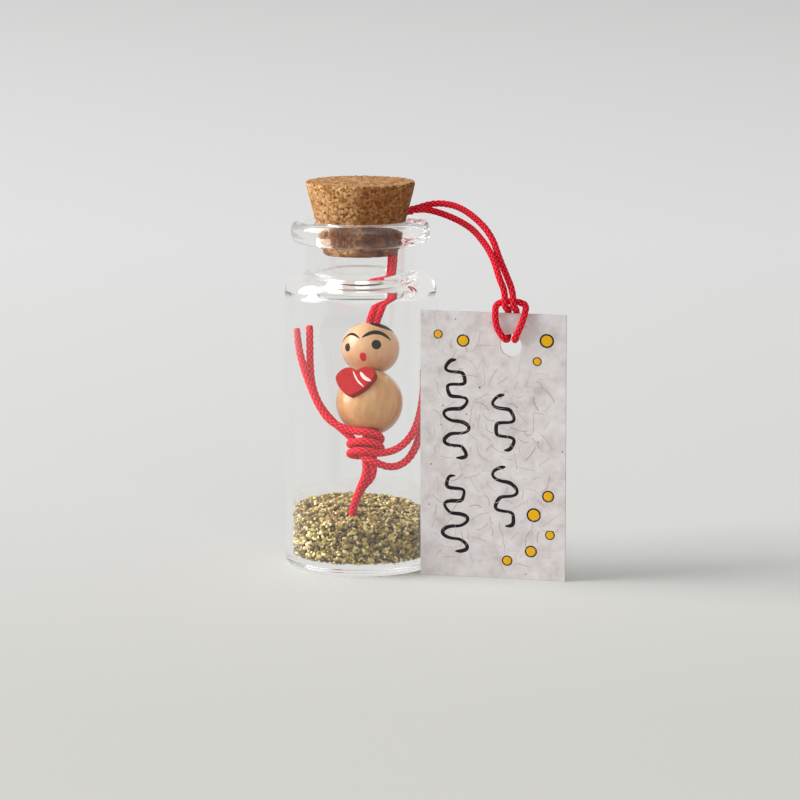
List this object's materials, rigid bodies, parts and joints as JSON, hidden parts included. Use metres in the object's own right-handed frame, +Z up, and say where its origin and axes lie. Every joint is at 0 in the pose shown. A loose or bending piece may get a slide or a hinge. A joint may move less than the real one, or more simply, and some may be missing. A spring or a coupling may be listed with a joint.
{
  "type": "message bottle",
  "caption": "Small corked glass bottle with a wooden bead doll on a red cord, gold granules inside and a paper message tag hanging outside.",
  "frame": {"origin": "centre of the bottle's base, on the surface that it stands on", "axes": "+Z up along the bottle's axis, the doll faces the viewer on the -Y side, the tag hangs on the +X side"},
  "size_m": [0.0402, 0.0246, 0.0561],
  "materials": {
    "clear_glass": "clear, drawn glass tube",
    "cork": "pressed cork, bare",
    "granules": "crushed gold-coloured grit",
    "red_cord": "braided, matte",
    "bead_wood": "turned and varnished",
    "heart_paint": "red paint on thin wood",
    "tag_paper": "handmade paper with fibres"
  },
  "bodies": {
    "bottle": {"glass_bottle": "clear_glass", "gold_granules": "granules", "neck_cord_front": "red_cord", "neck_cord_back": "red_cord", "waist_knot": "red_cord", "left_arm_outer": "red_cord", "left_arm_inner": "red_cord", "right_arm_upper": "red_cord", "right_arm_lower": "red_cord", "leg_front": "red_cord", "leg_back": "red_cord", "hang_cord_upper": "red_cord", "hang_cord_lower": "red_cord"},
    "cork": {"cork_stopper": "cork"},
    "head": {"head_bead": "bead_wood"},
    "torso": {"body_bead": "bead_wood", "heart": "heart_paint"},
    "tag": {"message_tag": "tag_paper", "tag_hitch": "red_cord"}
  },
  "joints": [
    {"name": "cork_pull", "type": "slide", "parent": "bottle", "child": "cork", "axis": [0, 0, 1], "range_m": [0, 0.012]},
    {"name": "head_spin", "type": "hinge", "parent": "bottle", "child": "head", "pos_m": [0.00142, 0.00142, 0.03159], "axis": [0.0467, 0.3548, 0.9338], "continuous": true},
    {"name": "torso_spin", "type": "hinge", "parent": "bottle", "child": "torso", "pos_m": [0.00125, -0.0019, 0.0242], "axis": [0, 0.4543, 0.8908], "continuous": true},
    {"name": "tag_swing", "type": "hinge", "parent": "bottle", "child": "tag", "pos_m": [0.02105, -0.01248, 0.0417], "axis": [-0.9601, 0.2797, 0], "range_deg": [0, 90]}
  ]
}
